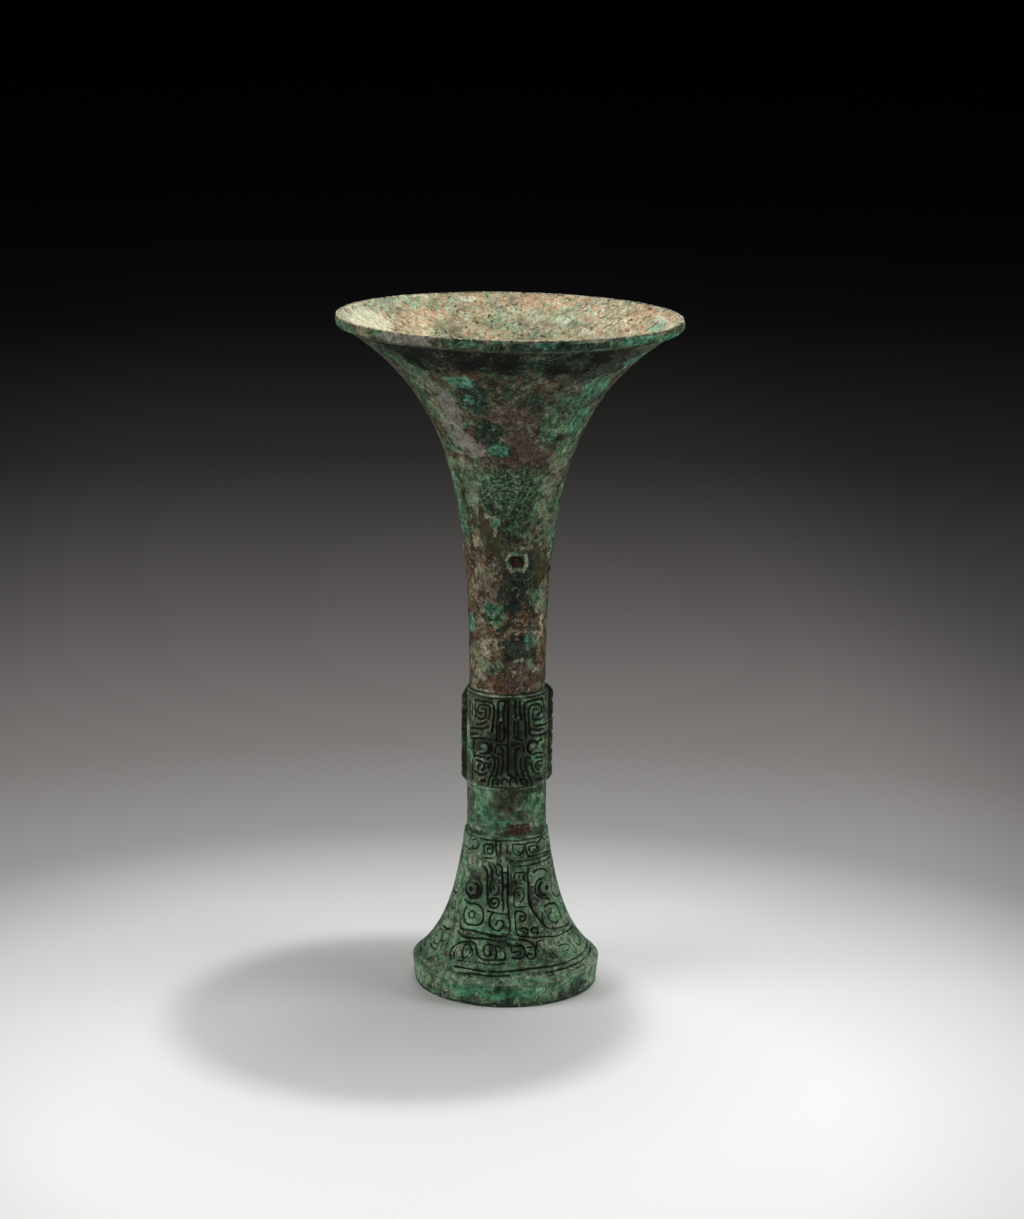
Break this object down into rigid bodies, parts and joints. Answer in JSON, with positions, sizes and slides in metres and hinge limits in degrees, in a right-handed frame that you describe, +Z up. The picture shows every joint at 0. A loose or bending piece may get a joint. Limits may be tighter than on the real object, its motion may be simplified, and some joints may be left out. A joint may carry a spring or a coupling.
{
  "type": "gu beaker",
  "caption": "Ancient Chinese bronze gu: a slender beaker with a wide trumpet mouth, a flanged knop cast with animal masks and a hollow splayed foot with patterned bands",
  "frame": {"origin": "centre of the foot's resting plane, on the vessel's axis", "axes": "+Z up along the vessel's axis; the middles of the two masks face -Y and +Y, and the flanges stand on -X and +X"},
  "size_m": [0.1348, 0.1348, 0.27],
  "materials": {
    "green_patina": "matt mineral crust over bronze, green with dark sunk lines",
    "dark_patina": "smooth to crusty dark green and brown patina over bronze",
    "brown_patina": "matt red-brown oxide over bronze"
  },
  "bodies": {
    "root": {"mouth_and_neck": "dark_patina", "knop": "green_patina", "foot": "green_patina", "cup_floor": "dark_patina", "flange_right": "green_patina", "flange_left": "green_patina", "neck_chaplet_1": "brown_patina", "neck_chaplet_2": "brown_patina", "neck_chaplet_3": "brown_patina", "stem_chaplet_1": "brown_patina", "stem_chaplet_2": "brown_patina", "stem_chaplet_3": "brown_patina", "foot_rim_chaplet_1": "brown_patina", "foot_rim_chaplet_2": "brown_patina", "foot_rim_chaplet_3": "brown_patina"}
  },
  "joints": []
}
